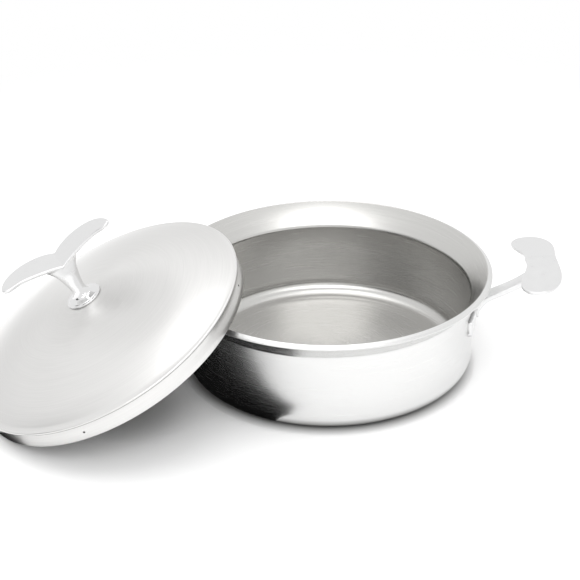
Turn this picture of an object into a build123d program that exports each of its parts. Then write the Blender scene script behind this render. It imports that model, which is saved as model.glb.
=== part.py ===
# Braiser: a flared clad pan with two gull-wing side grips and a domed lid with a gull-wing knob.
# The lid is off the pan. It stands on the floor on its skirt and leans on the left-hand grip.
# Lengths are millimetres. Origin: centre of the pan's base, on the floor. +Z up, the grips lie along X.
import os
from math import atan2, cos, hypot, radians, sin, sqrt

from build123d import *

# Pan
cook_radius = 120.0        # inside radius of the straight wall
wall = 3.0                 # thickness of the clad sheet
pan_height = 88.0          # floor to the top of the rim
flare_reach = 13.9         # how far the flare's top stands out from the inside wall
flare_height = 19.4        # height of the flare
lip_reach = 4.7            # the thick lip slopes outwards from the flare's top by this much
lip_drop = 2.8             # and down by this much
bend_lift = 1.7            # the wall turns outwards this much higher outside than inside
base_corner = 16.0         # outside radius between base and wall
flare_bend = 4.0           # outside radius where the wall turns into the flare
rim_round = 1.0            # rounding of the lip's two edges

# Side grips: foot welded to the wall, dished stem, folded wing plate
grip_half_span = 52.4      # middle of the plate to its widest point, along the rim
grip_chord = 26.3          # plate width at the fold, away from the pan
grip_thickness = 3.0
grip_edge_round = 1.1      # rounding of the plate's edges
grip_gap = 26.4            # free gap between rim and plate
grip_over_rim = 6.7        # the plate's top at the fold, above the rim
grip_mid_drop = 3.4        # the wings sag below the fold: half way out
grip_tip_drop = 6.0        # and at the tip
grip_rise_angle = 5.0      # the plate rises outwards by this many degrees
grip_fold_round = 24.0     # softness of the fold
stem_width = 14.0
stem_thickness = 4.6
stem_dish = 1.1            # depth of the hollow along the stem's top
stem_edge_round = 0.9
stem_end_inset = 5.0       # the stem meets the plate this far inside its outer edge
foot_half_span = 43.0      # half the foot's length round the wall
foot_height = 16.0
foot_thickness = 2.8
foot_corner = 4.5
foot_edge_round = 0.8
foot_bottom = 41.5         # height of the foot's lower edge above the floor
weld_gap = 0.1             # the foot stands on its weld projections by this much

# Lid
lid_sheet = 1.2
lid_seat_step = 0.7        # the skirt is this much wider than the straight wall, so it rests on the flare
skirt_depth = 15.8
skirt_edge_round = 0.4
bead_overhang = 2.5        # the rolled bead stands out from the skirt
bead_radius = 1.3
dome_rise = 30.8           # top of the dome above the bead's middle
knob_seat_radius = 16.0    # flat on the dome's top for the knob
vent_radius = 1.0          # steam holes through the skirt
vent_count = 4
vent_height = 8.8          # below the bead's middle
vent_turn = 62.0           # degrees from the knob's span to the first hole
screw_hole_radius = 3.0

# Knob
flange_radius = 14.8
flange_edge = 1.5
knob_height = 34.8         # flange's underside to the wing's top at the front of the fold
knob_half_span = 49.4
knob_chord = 28.5
knob_front = 2.6           # front of the fold ahead of the flange's centre
knob_thickness = 3.0
knob_edge_round = 1.1
knob_mid_lift = 7.5        # the wings rise above the fold: half way out
knob_tip_lift = 13.2       # and at the tip
knob_fold_round = 3.0
knob_hole_depth = 13.0

# Knob's fastening under the lid
screw_radius = 2.5
screw_play = 0.1
screw_reach = 11.0         # thread inside the knob
screw_head_radius = 4.7
screw_head_height = 3.2
screw_head_round = 1.2
recess_length = 5.2
recess_width = 1.1
recess_depth = 1.8
flat_washer_radius = 8.0
flat_washer_thickness = 1.0
spring_washer_radius = 4.5
spring_washer_thickness = 1.3
spring_washer_slit = 0.8
washer_play = 0.2

# Where the lid lies
lean_angle = 27.24         # degrees from level
lean_azimuth = 197.3       # direction in which it slopes down, degrees from +X
lid_forward = 61.6         # its centre lies this far in front of the grips' line
knob_turn = 183.9          # degrees from the slope's direction to the knob's span
lean_gap = 0.3             # play between the lid's inside and the grip it leans on

overrun = 5.0              # how far a cutting body passes the faces it cuts

# Half outlines of the two wing plates, from the fold on one side round the tip to the fold
# on the other, as shares of half span and chord.
grip_outline_shares = [
    (0.0, 0.0), (0.31, -0.046), (0.56, -0.225), (0.81, -0.26), (0.96, -0.06),
    (1.0, 0.26), (0.92, 0.69), (0.71, 0.97), (0.34, 1.05), (0.0, 1.0),
]
knob_outline_shares = [
    (0.0, 0.0), (0.37, 0.03), (0.78, -0.1), (0.93, -0.19), (1.0, -0.14),
    (1.0, 0.13), (0.8, 0.66), (0.58, 0.93), (0.3, 1.085), (0.0, 1.0),
]
# Stem of a side grip, from the foot to the plate, as shares of its reach and rise.
stem_path_shares = [
    (0.0, 0.0), (0.035, 0.16), (0.13, 0.3), (0.26, 0.39), (0.44, 0.49),
    (0.63, 0.62), (0.79, 0.76), (0.91, 0.88), (1.0, 1.0),
]
# Sections of the knob's stem: height share, half width share, half depth share, backward share.
# Height is a share of the knob's height, the others of the flange's radius.
knob_stem_shares = [
    (0.04, 0.88, 0.88, 0.0), (0.09, 0.63, 0.62, 0.0), (0.16, 0.475, 0.45, 0.0),
    (0.26, 0.41, 0.385, 0.0), (0.42, 0.43, 0.35, 0.02), (0.63, 0.54, 0.33, 0.06),
    (0.86, 0.73, 0.31, 0.11), (1.03, 1.02, 0.3, 0.15), (1.2, 1.5, 0.3, 0.16),
]

# Sizes that follow
outer_radius = cook_radius + wall
lip_radius = cook_radius + flare_reach
rim_radius = lip_radius + lip_reach
flare_slope = atan2(flare_height, flare_reach)
lip_slope = atan2(lip_drop, lip_reach)
# The lip's upper corner before it is rounded. The rounding then tops out at the pan's height.
corner_share = (cos(flare_slope) + cos(lip_slope)) / (1 + cos(flare_slope + lip_slope))
rim_corner = pan_height + rim_round * (corner_share - 1)
flare_start = rim_corner - flare_height
grip_fold_x = rim_radius + grip_gap
grip_fold_z = pan_height + grip_over_rim
skirt_radius = cook_radius + lid_seat_step
bead_edge = skirt_radius + bead_overhang
bead_centre = bead_edge - bead_radius
# The dome is part of a ball whose centre lies on the lid's axis, this far below the bead.
dome_reach = bead_centre**2 + bead_radius**2 - knob_seat_radius**2 - dome_rise**2
dome_centre = dome_reach / (2 * (bead_radius - dome_rise))
dome_radius = hypot(knob_seat_radius, dome_rise - dome_centre)


def corner(face, x, y):
    """The corner of a flat face nearest to a point."""
    return face.vertices().sort_by_distance((x, y, 0))[0]


def ring_solid(face):
    """Turn a profile drawn in X (radius) and Y (height) about the upright axis."""
    return revolve(Plane.XZ * face, Axis.Z)


def pan_body():
    """Straight wall that turns out into a flare with a thick lip."""
    outer_turn = flare_start + bend_lift
    lip_bottom = rim_corner - lip_drop
    face = make_face(Polyline(
        (0, 0), (outer_radius, 0), (outer_radius, outer_turn), (rim_radius, lip_bottom),
        (lip_radius, rim_corner), (cook_radius, flare_start), (cook_radius, wall), (0, wall),
        close=True,
    ))
    for x, y, radius in (
        (outer_radius, 0, base_corner),
        (cook_radius, wall, base_corner - wall),
        (outer_radius, outer_turn, flare_bend),
        (cook_radius, flare_start, flare_bend + wall),
        (rim_radius, lip_bottom, rim_round),
        (lip_radius, rim_corner, rim_round),
    ):
        face = fillet(corner(face, x, y), radius)
    return ring_solid(face)


def wing_outline(half_span, chord, shares):
    """One wing's outline: X along the chord, Y along the span, closed along the fold."""
    side = Spline(*[(chord * c, half_span * s) for s, c in shares])
    return make_face(Wire([side, Line(side @ 1, side @ 0)]))


def wing_line(half_span, mid, tip, fold_round, drop):
    """Section of a wing along its span, level at the fold. mid and tip are its heights half
    way along and at the end, above where the fold would be if it were sharp."""
    slope = (4 * mid - tip) / half_span
    curve = (2 * tip - 4 * mid) / half_span**2
    soft = fold_round * abs(slope)
    reach = half_span + overrun
    points = [(0, (slope + curve * soft) * soft / 2 - drop)]
    for y in (soft * 1.5, reach / 4, reach / 2, reach):
        points.append((y, (slope + curve * y) * y - drop))
    return Spline(*points, tangents=[(1, 0), (1, slope + 2 * curve * reach)])


def wing_plate(half_span, chord, shares, mid, tip, thickness, fold_round, edge_round):
    """Folded plate with two wings and rounded edges. The fold runs along X from the front edge
    at X = 0. The sharp fold would lie on Z = 0."""
    top = wing_line(half_span, mid, tip, fold_round, 0)
    low = wing_line(half_span, mid, tip, fold_round, thickness)
    section = make_face(Wire([top, Line(top @ 1, low @ 1), low, Line(low @ 0, top @ 0)]))
    sheet = extrude(Plane.YZ.offset(-chord) * section, amount=3 * chord)
    wing = sheet & extrude(wing_outline(half_span, chord, shares), amount=half_span, both=True)
    wing = fillet(wing.edges().filter_by(lambda e: (e @ 0.5).Y > overrun), edge_round)
    return wing + mirror(wing, Plane.XZ)


def grip_plate():
    plate = wing_plate(grip_half_span, grip_chord, grip_outline_shares, -grip_mid_drop, -grip_tip_drop,
                       grip_thickness, grip_fold_round, grip_edge_round)
    return Pos(grip_fold_x, 0, grip_fold_z) * Rot(0, -grip_rise_angle, 0) * plate


def grip_foot():
    """Bar that hugs the wall, with rounded ends."""
    inner = outer_radius + weld_gap
    outer = inner + foot_thickness
    band = Cylinder(outer, foot_height) - Cylinder(inner, foot_height)
    side = Plane.YZ * RectangleRounded(2 * foot_half_span, foot_height, foot_corner)
    foot = Pos(0, 0, foot_bottom + foot_height / 2) * (band & extrude(side, amount=outer + overrun))
    front = foot.edges().filter_by(lambda e: hypot((e @ 0.5).X, (e @ 0.5).Y) > outer - foot_thickness / 4)
    return fillet(front, foot_edge_round)


def stem_section():
    """Rounded bar with a hollow along its top, drawn round the origin."""
    x = stem_width / 2
    y = stem_thickness / 2
    lip = x - stem_edge_round * 2
    section = make_face(Wire([
        Line((-x, y), (-lip, y)), ThreePointArc((-lip, y), (0, y - stem_dish), (lip, y)),
        Line((lip, y), (x, y)), Line((x, y), (x, -y)), Line((x, -y), (-x, -y)), Line((-x, -y), (-x, y)),
    ]))
    for point in ((-x, y), (x, y), (x, -y), (-x, -y)):
        section = fillet(corner(section, *point), stem_edge_round)
    return section


def grip_stem():
    """Curved bar from the foot to the underside of the plate."""
    start_x = outer_radius + weld_gap + stem_thickness / 2
    end_x = grip_fold_x + grip_chord - stem_end_inset
    start_z = foot_bottom + foot_edge_round
    rise = (end_x - grip_fold_x) * sin(radians(grip_rise_angle))
    end_z = grip_fold_z + rise - grip_thickness - stem_thickness / 3
    points = []
    for x, z in stem_path_shares:
        points.append((start_x + (end_x - start_x) * x, 0, start_z + (end_z - start_z) * z))
    path = Spline(*points, tangents=[(0, 0, 1), (1, 0, 1)])
    start = Plane(origin=path @ 0, x_dir=(0, 1, 0), z_dir=path % 0)
    return sweep(start * stem_section(), path=path)


def side_grip(turn):
    """One casting: plate, stem and foot, turned about the pan's axis."""
    return Rot(0, 0, turn) * (grip_plate() + grip_stem() + grip_foot())


def lid_shell():
    """Pressed dome with a seat for the knob, a bead rolled round its edge and a skirt below."""
    centre = (0, dome_centre)
    inner_dome = dome_radius - lid_sheet
    skirt_inside = skirt_radius - lid_sheet
    seat_below = dome_rise - lid_sheet
    rim_top = (bead_centre, bead_radius)
    bead_side = (bead_edge, 0)
    bead_foot = (bead_centre, -bead_radius)
    # Where the inner dome meets the skirt's inside.
    inner_rim = (skirt_inside, dome_centre + sqrt(inner_dome**2 - skirt_inside**2))
    inner_seat = (sqrt(inner_dome**2 - (seat_below - dome_centre) ** 2), seat_below)
    face = make_face(Wire([
        Line((screw_hole_radius, seat_below), (screw_hole_radius, dome_rise)),
        Line((screw_hole_radius, dome_rise), (knob_seat_radius, dome_rise)),
        RadiusArc((knob_seat_radius, dome_rise), rim_top, dome_radius),
        ThreePointArc(rim_top, bead_side, bead_foot),
        Line(bead_foot, (skirt_radius, -bead_radius)),
        Line((skirt_radius, -bead_radius), (skirt_radius, -skirt_depth)),
        Line((skirt_radius, -skirt_depth), (skirt_inside, -skirt_depth)),
        Line((skirt_inside, -skirt_depth), inner_rim),
        RadiusArc(inner_rim, inner_seat, -inner_dome),
        Line(inner_seat, (screw_hole_radius, seat_below)),
    ]))
    for point, radius in (
        ((skirt_radius, -bead_radius), skirt_edge_round),
        ((skirt_radius, -skirt_depth), skirt_edge_round),
        ((skirt_inside, -skirt_depth), skirt_edge_round),
        (inner_rim, bead_radius),
    ):
        face = fillet(corner(face, *point), radius)
    shell = ring_solid(face)
    drill = Pos(skirt_radius, 0, -vent_height) * Rot(0, 90, 0) * Cylinder(vent_radius, lid_sheet * 4)
    for turn in range(vent_count):
        shell -= Rot(0, 0, vent_turn + turn * 360 / vent_count) * drill
    return shell


def lid_knob():
    """Round flange, waisted stem that spreads into a folded plate, and a blind threaded hole.
    The wings spread along X and the notch at the back of the fold points to +Y."""
    plate = wing_plate(knob_half_span, knob_chord, knob_outline_shares, knob_mid_lift, knob_tip_lift,
                       knob_thickness, knob_fold_round, knob_edge_round)
    sections = []
    for height, width, depth, back in knob_stem_shares:
        place = Pos(0, back * flange_radius, height * knob_height)
        sections.append(place * Ellipse(width * flange_radius, depth * flange_radius))
    stem = loft(sections)
    # The stem ends half way through the plate.
    middle = wing_line(knob_half_span, knob_mid_lift, knob_tip_lift, knob_fold_round, knob_thickness / 2)
    end = middle @ 1
    below = make_face(Wire([
        middle, Line(end, (end.X, -knob_height)), Line((end.X, -knob_height), (0, -knob_height)),
        Line((0, -knob_height), middle @ 0),
    ]))
    room = extrude(Plane.YZ.offset(-knob_chord) * below, amount=3 * knob_chord)
    turned = Pos(0, -knob_front, knob_height) * Rot(0, 0, 90)
    stem = stem & (turned * (room + mirror(room, Plane.XZ)))
    flange = extrude(Circle(flange_radius), amount=flange_edge)
    flange = fillet(flange.edges().group_by(Axis.Z)[-1], flange_edge / 3)
    hole = extrude(Circle(screw_radius + screw_play), amount=knob_hole_depth)
    return Pos(0, 0, dome_rise) * (turned * plate + stem + flange - hole)


def screw_stack():
    """Flat washer, spring washer and screw under the lid's seat, on the lid's axis."""
    seat = dome_rise - lid_sheet
    hole = screw_radius + washer_play
    flat = extrude(Circle(flat_washer_radius) - Circle(hole), amount=flat_washer_thickness)
    flat_bottom = seat - flat_washer_thickness
    spring = extrude(Circle(spring_washer_radius) - Circle(hole), amount=spring_washer_thickness)
    slit = Box(2 * spring_washer_radius, spring_washer_slit, spring_washer_thickness * 3)
    spring -= Pos(spring_washer_radius, 0, 0) * slit
    spring_bottom = flat_bottom - spring_washer_thickness
    head = extrude(Circle(screw_head_radius), amount=screw_head_height)
    head = fillet(head.edges().group_by(Axis.Z)[0], screw_head_round)
    for turn in (0, 90):
        head -= Rot(0, 0, turn) * Box(recess_length, recess_width, 2 * recess_depth)
    shank_length = dome_rise + screw_reach - spring_bottom
    shank = extrude(Circle(screw_radius), amount=screw_head_height + shank_length)
    shank = chamfer(shank.edges().group_by(Axis.Z)[-1], screw_radius / 4)
    shank = split(shank, Plane.XY.offset(screw_head_height / 2 + recess_depth / 2), keep=Keep.TOP)
    screw = Pos(0, 0, spring_bottom - screw_head_height) * (head + shank)
    return screw, Pos(0, 0, spring_bottom) * spring, Pos(0, 0, flat_bottom) * flat


def lid_place(grip):
    """Where the lid lies: its skirt on the floor and its inside on the top of a grip."""
    tilt = radians(lean_angle)
    turn = radians(lean_azimuth)
    upward = Vector(sin(tilt) * cos(turn), sin(tilt) * sin(turn), cos(tilt))
    downhill = Vector(cos(tilt) * cos(turn), cos(tilt) * sin(turn), -sin(tilt))
    across = upward.cross(downhill)
    span = downhill * cos(radians(knob_turn)) + across * sin(radians(knob_turn))
    # The rounded lower edge of the skirt touches the floor.
    height = (skirt_depth - skirt_edge_round) * cos(tilt) + (skirt_radius - skirt_edge_round) * sin(tilt)
    height += skirt_edge_round
    middle = Vector(0, -lid_forward, height)
    # Slide the lid along X until the ball inside its dome just takes in every point of the grip.
    ball = middle + upward * dome_centre
    room = dome_radius - lid_sheet - lean_gap
    slide = []
    for point in grip.tessellate(lean_gap / 3)[0]:
        way = point - ball
        slide.append(way.X + sqrt(way.X**2 - way.length**2 + room**2))
    return Plane(origin=middle + Vector(min(slide), 0, 0), x_dir=span, z_dir=upward).location


pan = pan_body()
grip_right = side_grip(0)
grip_left = side_grip(180)
lean = lid_place(grip_left)
screw, spring_washer, flat_washer = screw_stack()

parts = {
    "pan_body": pan,
    "handle_right": grip_right,
    "handle_left": grip_left,
    "lid_shell": lean * lid_shell(),
    "lid_knob": lean * lid_knob(),
    "knob_screw": lean * screw,
    "knob_spring_washer": lean * spring_washer,
    "knob_flat_washer": lean * flat_washer,
}

os.makedirs("parts", exist_ok=True)
for name, solid in parts.items():
    export_step(solid, "parts/" + name + ".step")
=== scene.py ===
"""A flared braiser with gull-wing grips, its domed lid leaning on the left-hand grip."""

from math import atan2, cos, hypot, pi, radians, sin, sqrt, tan

import bmesh
import bpy
from bpy.props import FloatProperty, FloatVectorProperty, IntProperty, PointerProperty
from mathutils import Matrix, Vector


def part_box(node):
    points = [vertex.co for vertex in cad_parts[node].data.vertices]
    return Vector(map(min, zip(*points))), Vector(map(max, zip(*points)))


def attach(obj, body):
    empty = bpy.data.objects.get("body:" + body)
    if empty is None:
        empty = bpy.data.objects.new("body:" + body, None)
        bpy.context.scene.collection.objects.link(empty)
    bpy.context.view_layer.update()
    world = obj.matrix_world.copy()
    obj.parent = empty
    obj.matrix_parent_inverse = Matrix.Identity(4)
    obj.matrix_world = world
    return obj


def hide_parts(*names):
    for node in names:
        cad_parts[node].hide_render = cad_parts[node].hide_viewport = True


bl_info = {
    "name": "Braiser",
    "version": (1, 0, 0),
    "blender": (4, 5, 0),
    "location": "View3D > Sidebar > Braiser",
    "description": "Builds a clad steel braiser with its lid beside it",
    "category": "Add Mesh",
}

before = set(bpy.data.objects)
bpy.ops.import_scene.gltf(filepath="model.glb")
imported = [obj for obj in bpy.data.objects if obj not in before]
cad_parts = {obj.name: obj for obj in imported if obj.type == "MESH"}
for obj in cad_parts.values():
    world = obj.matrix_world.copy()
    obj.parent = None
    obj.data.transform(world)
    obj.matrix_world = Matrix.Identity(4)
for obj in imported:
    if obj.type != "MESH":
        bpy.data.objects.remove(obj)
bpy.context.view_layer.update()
MM = 0.001

# Each soft box has a name, place, the point it faces, width, depth and strength. Strength 1 is white.
SOFT_BOXES = (
    ("top box", (-0.15, 0.05, 1.6), (-0.15, 0.05, 0), 1.0, 1.0, 1.4),
    ("front box", (0.05, -1.5, 1.5), (0, 0, 0.05), 2.4, 0.8, 1.7),
    ("front strip", (0.35, -2.4, 1.0), (0, 0, 0.05), 0.10, 0.9, 2.0),
)
# Each dark card is a thin plate with a name, low corner, high corner and shade.
DARK_CARDS = (
    ("left flag", (-1.0, -0.5, 0.0), (-0.999, -0.1, 0.5), 0.1),
    # The card under the lid is painted shade: a dark sheet on the floor there, seen only in reflections,
    # standing in for the shade under the lid.
    ("painted shade card", (-0.27, -0.15, 0.0006), (-0.045, 0.17, 0.0008), 0.005),
)
# The floor changes with the distance from the pan's middle, or from the mirror's, over these spans.
FLOOR_WHITE = 1.12
# Near the pan's base the floor's colour darkens over this span to a painted contact shadow.
CONTACT_SPAN = (112 * MM, 128 * MM)
PAINTED_SHADOW_SHADE = 0.25
# The mirror patch under the lid reflects the painted-shade card and the lid's underside.
MIRROR_MIDDLE = (-0.17, -0.08, 0)
MIRROR_SPAN = (20 * MM, 70 * MM)
MIRROR_SHARE = 0.5
FADE_SPAN = (0.35, 0.8)
FLOOR_GLOSS = (0.03, 0.06)
FLOOR_GRAIN = 3
# The share of light that the floor throws back on to the pan.
FLOOR_BOUNCE = 0.9

# The camera's picture width in millimetres, and how far it sees in metres.
FRAME_WIDTH = 36
VIEW_END = 50

# Brushing is a fine noise with some broad noise mixed in. Arcs say how often a line changes in a turn.
FINE_ARCS = 2.5
BROAD_ARCS = 0.8
BROAD_WIDTH = 8
BROAD_SHARE = 0.2
NOISE_SPAN = (0.3, 0.7)
LINE_SHADE = 0.25
LINE_RELIEF = 0.1
LINE_HEIGHT = 0.001 * MM
LINE_SWING = 0.08
SHEEN = 0.8
CLOUD_SCALE = 120
CLOUD_SHADE = 0.96
CLOUD_SWING = 0.15
POLISH_FADE = 3 * MM

# How many pieces the arcs of an outline have, and how close points are merged.
DOME_STEPS = 24
BEAD_STEPS = 12
ARC_STEPS = {"corner": 14, "inner corner": 12, "bend": 8, "lip": 6, "seam": 4, "edge": 3}
MERGE = 0.001 * MM


def length(name, words, default):
    """A size in metres that the sidebar shows."""
    return FloatProperty(name=name, description=words, default=default, unit="LENGTH", precision=4)


def angle(name, words, default):
    """An angle given in degrees and kept in radians."""
    return FloatProperty(name=name, description=words, default=radians(default), unit="ROTATION")


def share(name, words, default):
    """A plain factor."""
    return FloatProperty(name=name, description=words, default=default, subtype="FACTOR", min=0, max=1)


def amount(name, words, default):
    """A number with no unit."""
    return FloatProperty(name=name, description=words, default=default)


def color(name, words, default):
    """A linear colour."""
    return FloatVectorProperty(name=name, description=words, default=default, size=3,
                               subtype="COLOR", min=0, max=1)


class PanSizes(bpy.types.PropertyGroup):
    """Sizes of the pan's clad sheet that the frame doesn't give."""

    cook_radius: length("Inside radius", "Radius of the straight wall inside", 120 * MM)
    wall: length("Sheet", "Thickness of the clad sheet", 3 * MM)
    flare_reach: length("Flare reach", "How far the flare's top stands out from the inside wall", 13.9 * MM)
    flare_height: length("Flare height", "Height of the flare", 19.4 * MM)
    lip_reach: length("Lip reach", "How far the thick lip slopes outwards from the flare's top", 4.7 * MM)
    lip_drop: length("Lip drop", "How far the lip slopes down", 2.8 * MM)
    bend_lift: length("Bend lift", "The wall turns outwards this much higher outside", 1.7 * MM)
    base_corner: length("Base corner", "Outside radius between base and wall", 16 * MM)
    flare_bend: length("Flare bend", "Outside radius where the wall turns out", 4 * MM)
    rim_round: length("Rim rounding", "Rounding of the lip's edges", 1 * MM)
    segments: IntProperty(name="Segments", description="Faces round the pan", default=256, min=32)


class LidSizes(bpy.types.PropertyGroup):
    """Sizes of the lid, and how it leans."""

    sheet: length("Sheet", "Thickness of the lid", 1.2 * MM)
    skirt_radius: length("Skirt radius", "Outside radius of the skirt", 120.7 * MM)
    skirt_depth: length("Skirt depth", "From the bead's middle to the skirt's edge", 15.8 * MM)
    skirt_round: length("Skirt rounding", "Rounding of the skirt's edge", 0.4 * MM)
    bead_overhang: length("Bead overhang", "How far the bead stands out", 2.5 * MM)
    bead_radius: length("Bead radius", "Radius of the rolled bead", 1.3 * MM)
    dome_rise: length("Dome rise", "Top of the dome above the bead's middle", 30.8 * MM)
    seat_radius: length("Seat radius", "Flat under the knob", 16 * MM)
    hole_radius: length("Screw hole", "Radius of the hole for the knob's screw", 3 * MM)
    vent_radius: length("Steam hole", "Radius of a steam hole", 1 * MM)
    vent_height: length("Steam hole height", "Below the bead's middle", 8.8 * MM)
    vent_turn: angle("Steam hole turn", "From the knob's span to the first hole", 62)
    vent_count: IntProperty(name="Steam holes", description="Holes round the skirt", default=4, min=0)
    lean_angle: angle("Lean", "Tilt of the lid from level", 27.24)
    lean_azimuth: angle("Lean azimuth", "Direction in which the lid slopes down", 197.3)
    forward: length("Forward", "How far the lid lies in front of the grips' line", 61.6 * MM)
    knob_turn: angle("Knob turn", "From the slope's direction to the knob's span", 183.9)
    segments: IntProperty(name="Segments", description="Faces round the lid", default=256, min=32)


class SteelLook(bpy.types.PropertyGroup):
    """Finish of the steel surfaces, with darker colours painted as shade on the pan's inside and the lid's
    hollow side.
    """

    outside_color: color("Pan outside", "Colour of the pan's outer wall", (0.8, 0.8, 0.795))
    # The pan's inside is darker than its outside as painted shade; the fasteners take this colour too.
    inside_shade_color: color("Pan inside shade", "Colour of the pan's inside", (0.62, 0.615, 0.6))
    lid_color: color("Lid", "Colour of the lid's dome", (0.78, 0.775, 0.765))
    # The lid's hollow side is darker than its dome as painted shade.
    hollow_shade_color: color("Lid hollow shade", "Colour of the lid's hollow side", (0.45, 0.45, 0.44))
    grip_color: color("Grips", "Colour of the cast grips and knob", (0.79, 0.79, 0.79))
    pan_roughness: share("Pan roughness", "Roughness of the brushed pan", 0.26)
    lid_roughness: share("Lid roughness", "Roughness of the brushed lid", 0.30)
    satin_roughness: share("Satin roughness", "Roughness of the wings", 0.32)
    polish_roughness: share("Polish roughness", "Roughness of the knob's stem", 0.08)
    polish_height: length("Polish height", "The knob is polished up to here above its flange", 24 * MM)
    brush_line: length("Brush line", "Width of one brushing line", 0.35 * MM)
    brush_depth: share("Brush depth", "How strongly the lines show", 0.3)


class StudioLook(bpy.types.PropertyGroup):
    """Camera, lights and floor."""

    camera_radius: length("Camera distance", "From the pan's middle, over the floor", 1280 * MM)
    camera_height: length("Camera height", "Above the floor", 734.3 * MM)
    camera_azimuth: angle("Camera azimuth", "Where the camera stands, from +X", 269.0)
    camera_pitch: angle("Camera pitch", "How far it looks down", 27.557)
    camera_yaw: angle("Camera yaw", "How far it turns to the left", 0.456)
    camera_roll: angle("Camera roll", "Turn about the line of sight", 0.752)
    focal: FloatProperty(name="Focal length", description="In millimetres on a 36 mm frame", default=105.5)
    floor_size: length("Floor", "Side of the floor", 12.0)
    sky: amount("Sky", "Strength of the world's light", 0.9)


def link_mesh(name, bm):
    """Turn a finished bmesh into an object of the scene."""
    mesh = bpy.data.meshes.new(name)
    bm.to_mesh(mesh)
    bm.free()
    made = bpy.data.objects.new(name, mesh)
    bpy.context.scene.collection.objects.link(made)
    return made


def make_piece(name, bm, body, cad_node):
    """Link a finished bmesh as a piece that stands for a CAD node."""
    piece = link_mesh(name, bm)
    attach(piece, body)
    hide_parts(cad_node)
    return piece


def profile(bm, corners):
    """Draw a profile in the XZ plane. Each corner is (radius, height, rounding, segments)."""
    verts = [bm.verts.new((x, 0, z)) for x, z, _, _ in corners]
    for a, b in zip(verts, verts[1:]):
        bm.edges.new((a, b))
    for vert, (_, _, rounding, segments) in zip(verts, corners):
        if rounding:
            a, b = (edge.other_vert(vert).co - vert.co for edge in vert.link_edges)
            offset = rounding / tan(a.angle(b) / 2)
            bmesh.ops.bevel(bm, geom=[vert], offset=offset, segments=segments, profile=0.5,
                            affect="VERTICES", material=-1)
    return bm


def arc(x0, z0, x1, z1, centre_z, count):
    """Points of a ball's outline between two points, its centre on the axis."""
    radius = hypot(x0, z0 - centre_z)
    start = atan2(z0 - centre_z, x0)
    end = atan2(z1 - centre_z, x1)
    turns = [start + (end - start) * i / count for i in range(1, count)]
    return [(radius * cos(t), centre_z + radius * sin(t), 0, 1) for t in turns]


def turn_profile(bm, segments):
    """Spin a profile into a closed solid. Each vertex keeps how far along the profile it lies."""
    along = bm.verts.layers.float.new("along")
    start = min(bm.verts, key=lambda v: v.index)
    walked = 0.0
    seen = {start}
    vert = start
    while vert is not None:
        vert[along] = walked
        step = None
        for edge in vert.link_edges:
            other = edge.other_vert(vert)
            if other not in seen:
                step = other
                walked += edge.calc_length()
        if step is not None:
            seen.add(step)
        vert = step
    bmesh.ops.spin(bm, geom=bm.verts[:] + bm.edges[:], axis=(0, 0, 1), cent=(0, 0, 0),
                   angle=2 * pi, steps=segments, use_merge=True)
    bmesh.ops.remove_doubles(bm, verts=bm.verts, dist=MERGE)
    return bm


def lay_map(bm):
    """Smooth a turned solid and lay a map on it: U runs round, V along the profile."""
    bmesh.ops.recalc_face_normals(bm, faces=bm.faces)
    along = bm.verts.layers.float["along"]
    uv = bm.loops.layers.uv.new("round")
    for face in bm.faces:
        face.smooth = True
        middle = face.calc_center_median()
        centre_turn = atan2(middle.y, middle.x)
        for loop in face.loops:
            co = loop.vert.co
            turn = atan2(co.y, co.x) if hypot(co.x, co.y) > MERGE else centre_turn
            if turn - centre_turn > pi:
                turn -= 2 * pi
            if centre_turn - turn > pi:
                turn += 2 * pi
            loop[uv].uv = (turn / (2 * pi), loop.vert[along])


def faces_axis(face):
    """Whether a face of a turned solid looks towards its axis."""
    middle = face.calc_center_median()
    return middle.x * face.normal.x + middle.y * face.normal.y < 0


class MESH_OT_braiser_pan(bpy.types.Operator):
    """Spin the pan's clad sheet: flat base, straight wall and flared rim."""

    bl_idname = "mesh.braiser_pan"
    bl_label = "Pan"

    def execute(self, context):
        pan = context.scene.braiser_pan
        outer = pan.cook_radius + pan.wall
        lip = pan.cook_radius + pan.flare_reach
        slope = atan2(pan.flare_height, pan.flare_reach)
        lip_slope = atan2(pan.lip_drop, pan.lip_reach)
        # The rounding of the lip's upper corner tops out at the node's height.
        corner_share = (cos(slope) + cos(lip_slope)) / (1 + cos(slope + lip_slope))
        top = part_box("pan_body")[1].z + pan.rim_round * (corner_share - 1)
        start = top - pan.flare_height
        corners = [
            (0, 0, 0, 1),
            (outer, 0, pan.base_corner, ARC_STEPS["corner"]),
            (outer, start + pan.bend_lift, pan.flare_bend, ARC_STEPS["bend"]),
            (lip + pan.lip_reach, top - pan.lip_drop, pan.rim_round, ARC_STEPS["lip"]),
            (lip, top, pan.rim_round, ARC_STEPS["lip"]),
            (pan.cook_radius, start, pan.flare_bend + pan.wall, ARC_STEPS["bend"]),
            (pan.cook_radius, pan.wall, pan.base_corner - pan.wall, ARC_STEPS["inner corner"]),
            (0, pan.wall, 0, 1),
        ]
        bm = turn_profile(profile(bmesh.new(), corners), pan.segments)
        lay_map(bm)
        # The inside faces take the darker inside colour, which is painted shade.
        for face in bm.faces:
            middle = face.calc_center_median()
            inside = faces_axis(face) or hypot(middle.x, middle.y) < pan.cook_radius
            face.material_index = int(inside and middle.z > pan.wall / 2)
        piece = make_piece("pan_sheet", bm, "pan", "pan_body")
        look = context.scene.braiser_steel
        for name, tint in (("pan outside", look.outside_color), ("pan inside painted shade", look.inside_shade_color)):
            piece.data.materials.append(brushed_steel(name, tint, look.pan_roughness, Matrix()))
        return {"FINISHED"}


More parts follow.
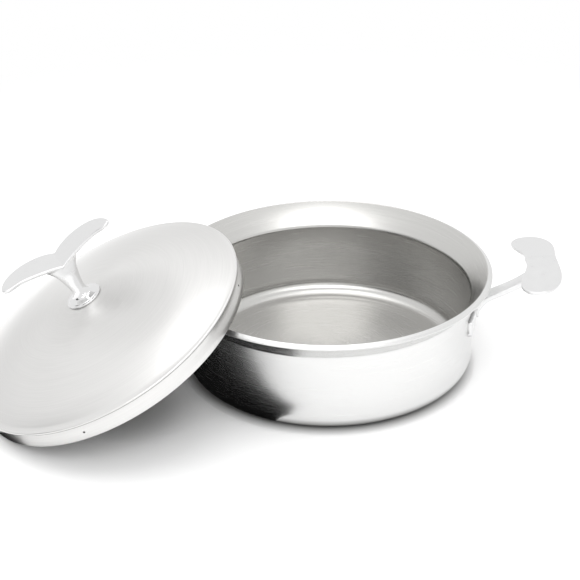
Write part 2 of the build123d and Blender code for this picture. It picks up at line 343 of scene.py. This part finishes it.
def lid_frame(lid):
    """The lid's own axes and centre as a matrix, found from its node's box and its lean."""
    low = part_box("lid_shell")[0]
    slope = Vector((cos(lid.lean_azimuth), sin(lid.lean_azimuth), 0))
    upright = Vector((0, 0, 1))
    normal = sin(lid.lean_angle) * slope + cos(lid.lean_angle) * upright
    down = cos(lid.lean_angle) * slope - sin(lid.lean_angle) * upright
    across = normal.cross(down)
    span = down * cos(lid.knob_turn) + across * sin(lid.knob_turn)
    side = normal.cross(span)
    # The bead reaches furthest along -X, so the box's low side gives the centre.
    bead_middle = lid.skirt_radius + lid.bead_overhang - lid.bead_radius
    reach = bead_middle * sqrt(1 - normal.x**2) + lid.bead_radius
    # The rounded edge of the skirt stands on the floor.
    edge = lid.skirt_radius - lid.skirt_round
    height = (lid.skirt_depth - lid.skirt_round) * normal.z + edge * sqrt(1 - normal.z**2)
    centre = Vector((low.x + reach, -lid.forward, height + lid.skirt_round))
    return Matrix.Translation(centre) @ Matrix((span, side, normal)).transposed().to_4x4()


class MESH_OT_braiser_lid(bpy.types.Operator):
    """Spin the lid: domed sheet with a rolled bead, a skirt and steam holes."""

    bl_idname = "mesh.braiser_lid"
    bl_label = "Lid"
    hole_sides = 16
    # Faces that look down by more than this belong to the lid's hollow side, which takes the darker colour
    # painted as shade.
    hollow_slope = -0.1

    def execute(self, context):
        lid = context.scene.braiser_lid
        bead = lid.skirt_radius + lid.bead_overhang - lid.bead_radius
        inside = lid.skirt_radius - lid.sheet
        # The dome is part of a ball through the knob's seat and the bead's top.
        centre = (bead**2 + lid.bead_radius**2 - lid.seat_radius**2 - lid.dome_rise**2) / 2
        centre /= lid.bead_radius - lid.dome_rise
        inner = hypot(lid.seat_radius, lid.dome_rise - centre) - lid.sheet
        under = lid.dome_rise - lid.sheet
        rim = centre + sqrt(inner**2 - inside**2)
        seat = sqrt(inner**2 - (under - centre) ** 2)
        vent_top = -lid.vent_height + 2 * lid.vent_radius
        vent_foot = -lid.vent_height - 2 * lid.vent_radius
        bead_turns = [pi / 2 - pi * i / BEAD_STEPS for i in range(BEAD_STEPS + 1)]
        corners = [
            (lid.hole_radius, under, 0, 1),
            (lid.hole_radius, lid.dome_rise, 0, 1),
            (lid.seat_radius, lid.dome_rise, 0, 1),
            *arc(lid.seat_radius, lid.dome_rise, bead, lid.bead_radius, centre, DOME_STEPS),
            *((bead + lid.bead_radius * cos(t), lid.bead_radius * sin(t), 0, 1) for t in bead_turns),
            (lid.skirt_radius, -lid.bead_radius, lid.skirt_round, ARC_STEPS["edge"]),
            (lid.skirt_radius, vent_top, 0, 1),
            (lid.skirt_radius, vent_foot, 0, 1),
            (lid.skirt_radius, -lid.skirt_depth, lid.skirt_round, ARC_STEPS["edge"]),
            (inside, -lid.skirt_depth, lid.skirt_round, ARC_STEPS["edge"]),
            (inside, vent_foot, 0, 1),
            (inside, vent_top, 0, 1),
            (inside, rim, lid.bead_radius, ARC_STEPS["seam"]),
            *arc(inside, rim, seat, under, centre, DOME_STEPS)[1:],
            (seat, under, 0, 1),
            (lid.hole_radius, under, 0, 1),
        ]
        bm = turn_profile(profile(bmesh.new(), corners), lid.segments)
        self.join_holes(bm, [self.ring_holes(bm, lid, skin) for skin in (lid.skirt_radius, inside)])
        lay_map(bm)
        for face in bm.faces:
            face.material_index = int(faces_axis(face) or face.normal.z < self.hollow_slope)
        place = lid_frame(lid)
        bmesh.ops.transform(bm, matrix=place, verts=bm.verts)
        piece = make_piece("lid_dome", bm, "lid", "lid_shell")
        look = context.scene.braiser_steel
        for name, tint in (("lid dome", look.lid_color), ("lid hollow painted shade", look.hollow_shade_color)):
            piece.data.materials.append(brushed_steel(name, tint, look.lid_roughness, place))
        return {"FINISHED"}

    def ring_holes(self, bm, lid, skin):
        """Open one skin of the skirt at each steam hole. Gives the edges of each hole's ring."""
        along = bm.verts.layers.float["along"]
        step = 2 * pi / lid.segments
        rings = []
        for i in range(lid.vent_count):
            turn = lid.vent_turn + 2 * pi * i / lid.vent_count
            column = round(turn / step) * step
            middle = Vector((skin * cos(column), skin * sin(column), -lid.vent_height))
            patch = []
            for face in bm.faces:
                spot = face.calc_center_median()
                if ((spot - middle).length < skin * step and abs(spot.z - middle.z) < lid.vent_radius / 2
                        and abs(hypot(spot.x, spot.y) - skin) < lid.sheet / 2):
                    patch.append(face)
            rim = {v for f in patch for v in f.verts}
            low = min(rim, key=lambda v: v.co.z)
            high = max(rim, key=lambda v: v.co.z)
            slope = (high[along] - low[along]) / (high.co.z - low.co.z)
            walked = low[along] - slope * low.co.z
            bmesh.ops.delete(bm, geom=patch, context="FACES")
            edges = [e for e in bm.edges if e.is_boundary and e.verts[0] in rim and e.verts[1] in rim]
            verts = []
            for k in range(self.hole_sides):
                t = 2 * pi * k / self.hole_sides
                a = turn + lid.vent_radius * cos(t) / skin
                height = lid.vent_radius * sin(t) - lid.vent_height
                verts.append(bm.verts.new((skin * cos(a), skin * sin(a), height)))
                verts[-1][along] = walked + slope * height
            ring = [bm.edges.new((verts[k - 1], verts[k])) for k in range(self.hole_sides)]
            bmesh.ops.bridge_loops(bm, edges=edges + ring)
            rings.append(ring)
        return rings

    def join_holes(self, bm, skins):
        """Join the rings of the two skins into the walls of the steam holes."""
        for first, second in zip(*skins):
            for edge in first + second:
                edge.smooth = False
            bmesh.ops.bridge_loops(bm, edges=first + second)


def new_material(name):
    """A material with no nodes yet, and its node tree."""
    material = bpy.data.materials.new(name)
    material.use_nodes = True
    material.node_tree.nodes.clear()
    return material, material.node_tree


def node(tree, kind, inputs=None, **settings):
    """Add a node, set its settings, and give its inputs values or links."""
    made = tree.nodes.new(kind)
    for key, value in settings.items():
        setattr(made, key, value)
    for key, value in (inputs or {}).items():
        if isinstance(value, bpy.types.NodeSocket):
            tree.links.new(value, made.inputs[key])
        else:
            made.inputs[key].default_value = value
    return made


def scaled(tree, value, factor):
    """Multiply a value by a number or by another value."""
    return node(tree, "ShaderNodeMath", {0: value, 1: factor}, operation="MULTIPLY").outputs[0]


def ranged(tree, value, span, result, **settings):
    """Turn a value's span into another span."""
    return node(tree, "ShaderNodeMapRange", {
        "Value": value, "From Min": span[0], "From Max": span[1],
        "To Min": result[0], "To Max": result[1]}, **settings).outputs[0]


def mixed_color(tree, factor, first, second):
    """Mix two colours by a value."""
    mix = node(tree, "ShaderNodeMix", {"Factor": factor}, data_type="RGBA")
    mix.inputs[6].default_value = (*first, 1)
    mix.inputs[7].default_value = (*second, 1)
    return mix.outputs[2]


def mixed_shader(tree, factor, first, second):
    """Mix two shaders by a value."""
    return node(tree, "ShaderNodeMixShader", {0: factor, 1: first, 2: second}).outputs[0]


def seen_directly(tree):
    """1 for what the camera sees itself, in a mirror or through glass, 0 for plain light."""
    path = node(tree, "ShaderNodeLightPath")
    mirrored = node(tree, "ShaderNodeMath", {
        0: path.outputs["Is Camera Ray"], 1: path.outputs["Is Glossy Ray"]}, operation="MAXIMUM")
    return node(tree, "ShaderNodeMath", {
        0: mirrored.outputs[0], 1: path.outputs["Is Transmission Ray"]}, operation="MAXIMUM").outputs[0]


def round_coordinates(tree, place):
    """Radius, height and direction about an axis, from Object coordinates."""
    turn = place.to_euler()
    coords = node(tree, "ShaderNodeTexCoord")
    mapped = node(tree, "ShaderNodeMapping", {
        "Vector": coords.outputs["Object"], "Location": place.translation,
        "Rotation": (turn.x, turn.y, turn.z)}, vector_type="TEXTURE").outputs[0]
    flat = node(tree, "ShaderNodeVectorMath", {0: mapped, 1: (1, 1, 0)}, operation="MULTIPLY").outputs[0]
    radius = node(tree, "ShaderNodeVectorMath", {0: flat}, operation="LENGTH").outputs["Value"]
    way = node(tree, "ShaderNodeVectorMath", {0: flat}, operation="NORMALIZE").outputs[0]
    height = node(tree, "ShaderNodeSeparateXYZ", {0: mapped}).outputs["Z"]
    return radius, height, way


def brush_lines(tree, place, line, arcs):
    """Fine broken lines that run round an axis."""
    radius, height, way = round_coordinates(tree, place)
    parts = node(tree, "ShaderNodeSeparateXYZ", {0: way})
    vector = node(tree, "ShaderNodeCombineXYZ", {
        0: scaled(tree, radius, 1 / line), 1: scaled(tree, height, 1 / line),
        2: scaled(tree, parts.outputs["X"], arcs)}).outputs[0]
    return node(tree, "ShaderNodeTexNoise", {
        "Vector": vector, "W": scaled(tree, parts.outputs["Y"], arcs), "Scale": 1.0, "Detail": 2.0,
        "Roughness": 0.6}, noise_dimensions="4D").outputs[0]


def around(value, swing):
    """The span from a share under a value to the same share over it."""
    return value * (1 - swing), value * (1 + swing)


def brushed_steel(name, tint, roughness, place):
    """Steel brushed round an axis, with an anisotropic sheen across the lines."""
    look = bpy.context.scene.braiser_steel
    material, tree = new_material(name)
    fine = brush_lines(tree, place, look.brush_line, FINE_ARCS)
    broad = brush_lines(tree, place, look.brush_line * BROAD_WIDTH, BROAD_ARCS)
    mixed = node(tree, "ShaderNodeMix", {"Factor": BROAD_SHARE, "A": fine, "B": broad},
                 data_type="FLOAT").outputs[0]
    dark = tuple(c * (1 - LINE_SHADE * look.brush_depth) for c in tint)
    bump = node(tree, "ShaderNodeBump", {
        "Height": fine, "Strength": look.brush_depth * LINE_RELIEF, "Distance": LINE_HEIGHT})
    tangent = node(tree, "ShaderNodeTangent", direction_type="UV_MAP", uv_map="round")
    shader = node(tree, "ShaderNodeBsdfPrincipled", {
        "Base Color": mixed_color(tree, ranged(tree, mixed, NOISE_SPAN, (0, 1)), dark, tint),
        "Metallic": 1.0, "Anisotropic": SHEEN,
        "Roughness": ranged(tree, mixed, NOISE_SPAN, around(roughness, LINE_SWING)),
        "Normal": bump.outputs[0], "Tangent": tangent.outputs[0]})
    node(tree, "ShaderNodeOutputMaterial", {"Surface": shader.outputs[0]})
    return material


def cast_steel(name, tint, roughness, polish=None):
    """Cast satin steel with a faint cloudiness. polish gives a place, a height on its axis and
    a roughness: below that height the steel is polished."""
    material, tree = new_material(name)
    coords = node(tree, "ShaderNodeTexCoord")
    cloud = node(tree, "ShaderNodeTexNoise", {
        "Vector": coords.outputs["Object"], "Scale": CLOUD_SCALE, "Detail": 3.0}).outputs[0]
    rough = ranged(tree, cloud, NOISE_SPAN, around(roughness, CLOUD_SWING))
    if polish:
        place, height, smooth = polish
        up = round_coordinates(tree, place)[1]
        polished = ranged(tree, up, (height, height + POLISH_FADE), (smooth / roughness, 1))
        rough = scaled(tree, rough, polished)
    dark = tuple(c * CLOUD_SHADE for c in tint)
    shader = node(tree, "ShaderNodeBsdfPrincipled", {
        "Base Color": mixed_color(tree, cloud, dark, tint), "Metallic": 1.0, "Roughness": rough})
    node(tree, "ShaderNodeOutputMaterial", {"Surface": shader.outputs[0]})
    return material


def finish_node(name, material):
    """Give a CAD node its material and smooth its shading over the rounded edges."""
    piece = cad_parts[name]
    piece.data.materials.clear()
    piece.data.materials.append(material)
    for face in piece.data.polygons:
        face.use_smooth = True
    weld = piece.modifiers.new("join", "WELD")
    weld.merge_threshold = MERGE
    piece.modifiers.new("flats", "WEIGHTED_NORMAL")


class MESH_OT_braiser_grips(bpy.types.Operator):
    """Finish the two side grips: satin cast steel."""

    bl_idname = "mesh.braiser_grips"
    bl_label = "Side grips"

    def execute(self, context):
        look = context.scene.braiser_steel
        satin = cast_steel("grip steel", look.grip_color, look.satin_roughness)
        for name in ("handle_right", "handle_left"):
            finish_node(name, satin)
        return {"FINISHED"}


class MESH_OT_braiser_knob(bpy.types.Operator):
    """Finish the knob and the screw and washers that hold it."""

    bl_idname = "mesh.braiser_knob"
    bl_label = "Knob and fastening"

    def execute(self, context):
        look = context.scene.braiser_steel
        lid = context.scene.braiser_lid
        polish = (lid_frame(lid), lid.dome_rise + look.polish_height, look.polish_roughness)
        finish_node("lid_knob", cast_steel("knob steel", look.grip_color, look.satin_roughness, polish))
        # The screw and washers take the same darker colour as the pan's inside.
        plain = cast_steel("fastener steel", look.inside_shade_color, look.satin_roughness)
        for name in ("knob_screw", "knob_spring_washer", "knob_flat_washer"):
            finish_node(name, plain)
        return {"FINISHED"}


class SCENE_OT_braiser_studio(bpy.types.Operator):
    """Set up the pale floor, the soft lights and the camera."""

    bl_idname = "scene.braiser_studio"
    bl_label = "Studio"

    def execute(self, context):
        scene = context.scene
        studio = scene.braiser_studio
        scene.view_settings.view_transform = "Standard"
        self.camera(scene, studio)
        self.floor(studio)
        self.world(scene, studio)
        for box in SOFT_BOXES:
            self.lamp(*box)
        for flag in DARK_CARDS:
            self.card(*flag)
        return {"FINISHED"}

    def camera(self, scene, studio):
        data = bpy.data.cameras.new("camera")
        data.lens = studio.focal
        data.sensor_width = FRAME_WIDTH
        data.clip_end = VIEW_END
        camera = bpy.data.objects.new("camera", data)
        scene.collection.objects.link(camera)
        azimuth, pitch, yaw = studio.camera_azimuth, studio.camera_pitch, studio.camera_yaw
        place = studio.camera_radius * Vector((cos(azimuth), sin(azimuth), 0))
        place.z = studio.camera_height
        forward = Vector((-sin(yaw) * cos(pitch), cos(yaw) * cos(pitch), -sin(pitch)))
        right = Vector((cos(yaw), sin(yaw), 0))
        down = forward.cross(right)
        across = cos(studio.camera_roll) * right + sin(studio.camera_roll) * down
        up = sin(studio.camera_roll) * right - cos(studio.camera_roll) * down
        turn = Matrix((across, up, -forward)).transposed().to_4x4()
        camera.matrix_world = Matrix.Translation(place) @ turn
        scene.camera = camera

    def floor(self, studio):
        """A matt white floor with a painted contact shadow round the pan and a mirror under the lid, which
        goes over into plain white.
        """
        bm = bmesh.new()
        bmesh.ops.create_grid(bm, x_segments=1, y_segments=1, size=studio.floor_size / 2)
        floor = link_mesh("floor", bm)
        material, tree = new_material("floor")
        coords = node(tree, "ShaderNodeTexCoord").outputs["Object"]
        grain = node(tree, "ShaderNodeTexNoise", {"Vector": coords, "Scale": FLOOR_GRAIN}).outputs[0]
        rough = ranged(tree, grain, (0, 1), FLOOR_GLOSS)
        board = node(tree, "ShaderNodeBsdfPrincipled", {
            "Base Color": (FLOOR_BOUNCE, FLOOR_BOUNCE, FLOOR_BOUNCE, 1),
            "Roughness": rough, "Specular IOR Level": 0.5})
        away = node(tree, "ShaderNodeVectorMath", {0: coords}, operation="LENGTH").outputs["Value"]
        # Painted contact shadow: the floor's colour darkens under the pan's rounded bottom edge.
        shade = ranged(tree, away, CONTACT_SPAN, (PAINTED_SHADOW_SHADE, FLOOR_WHITE))
        matt = node(tree, "ShaderNodeBsdfDiffuse", {"Color": shade})
        gloss = node(tree, "ShaderNodeBsdfGlossy", {"Color": (1, 1, 1, 1), "Roughness": rough})
        beside = node(tree, "ShaderNodeVectorMath", {0: coords, 1: MIRROR_MIDDLE},
                      operation="DISTANCE").outputs["Value"]
        mirror = ranged(tree, beside, MIRROR_SPAN, (MIRROR_SHARE, 0), interpolation_type="SMOOTHSTEP")
        fade = ranged(tree, away, FADE_SPAN, (0, 1), interpolation_type="SMOOTHSTEP")
        white = node(tree, "ShaderNodeEmission", {"Color": (1, 1, 1, 1), "Strength": 1.0})
        seen = mixed_shader(tree, mirror, matt.outputs[0], gloss.outputs[0])
        faded = mixed_shader(tree, fade, seen, white.outputs[0])
        shader = mixed_shader(tree, seen_directly(tree), board.outputs[0], faded)
        node(tree, "ShaderNodeOutputMaterial", {"Surface": shader})
        floor.data.materials.append(material)

    def lamp(self, name, place, aim, width, depth, strength):
        """A soft box: a rectangle of light turned towards a point."""
        data = bpy.data.lights.new(name, "AREA")
        data.shape = "RECTANGLE"
        data.size = width
        data.size_y = depth
        # A white surface of the box's brightness gives off this much power.
        data.energy = strength * width * depth * pi
        lamp = bpy.data.objects.new(name, data)
        bpy.context.scene.collection.objects.link(lamp)
        way = Vector(aim) - Vector(place)
        lamp.matrix_world = Matrix.Translation(place) @ way.to_track_quat("-Z", "Y").to_matrix().to_4x4()

    def card(self, name, low, high, shade):
        """A thin dark card that only reflections show. The one under the lid is painted shade."""
        low, high = Vector(low), Vector(high)
        bm = bmesh.new()
        bmesh.ops.create_cube(bm, size=1)
        bmesh.ops.scale(bm, vec=high - low, verts=bm.verts)
        bmesh.ops.translate(bm, vec=(low + high) / 2, verts=bm.verts)
        card = link_mesh(name, bm)
        card.visible_camera = False
        card.visible_diffuse = False
        card.visible_shadow = False
        material, tree = new_material(name)
        glow = node(tree, "ShaderNodeEmission", {"Color": (shade, shade, shade, 1), "Strength": 1.0})
        node(tree, "ShaderNodeOutputMaterial", {"Surface": glow.outputs[0]})
        card.data.materials.append(material)

    def world(self, scene, studio):
        """An even white room, which gives a little less light than the camera and metal see."""
        world = bpy.data.worlds.new("studio")
        scene.world = world
        world.use_nodes = True
        tree = world.node_tree
        tree.nodes.clear()
        room = node(tree, "ShaderNodeBackground", {"Color": (1, 1, 1, 1), "Strength": studio.sky})
        white = node(tree, "ShaderNodeBackground", {"Color": (1, 1, 1, 1), "Strength": 1.0})
        mix = mixed_shader(tree, seen_directly(tree), room.outputs[0], white.outputs[0])
        node(tree, "ShaderNodeOutputWorld", {"Surface": mix})


class VIEW3D_PT_braiser(bpy.types.Panel):
    """Buttons and sizes of the braiser."""

    bl_label = "Braiser"
    bl_space_type = "VIEW_3D"
    bl_region_type = "UI"
    bl_category = "Braiser"

    def draw(self, context):
        for operator in OPERATORS:
            self.layout.operator(operator.bl_idname)
        for group in GROUPS.values():
            box = self.layout.box()
            settings = getattr(context.scene, group)
            for key in settings.__annotations__:
                box.prop(settings, key)


GROUPS = {PanSizes: "braiser_pan", LidSizes: "braiser_lid", SteelLook: "braiser_steel",
          StudioLook: "braiser_studio"}
OPERATORS = (MESH_OT_braiser_pan, MESH_OT_braiser_lid, MESH_OT_braiser_grips, MESH_OT_braiser_knob,
             SCENE_OT_braiser_studio)


def register():
    for group, name in GROUPS.items():
        bpy.utils.register_class(group)
        setattr(bpy.types.Scene, name, PointerProperty(type=group))
    for cls in OPERATORS + (VIEW3D_PT_braiser,):
        bpy.utils.register_class(cls)


def unregister():
    for cls in reversed(OPERATORS + (VIEW3D_PT_braiser,)):
        bpy.utils.unregister_class(cls)
    for group, name in GROUPS.items():
        delattr(bpy.types.Scene, name)
        bpy.utils.unregister_class(group)


def main():
    register()
    bpy.ops.mesh.braiser_pan()
    bpy.ops.mesh.braiser_lid()
    bpy.ops.mesh.braiser_grips()
    bpy.ops.mesh.braiser_knob()
    bpy.ops.scene.braiser_studio()


if __name__ == "__main__":
    main()
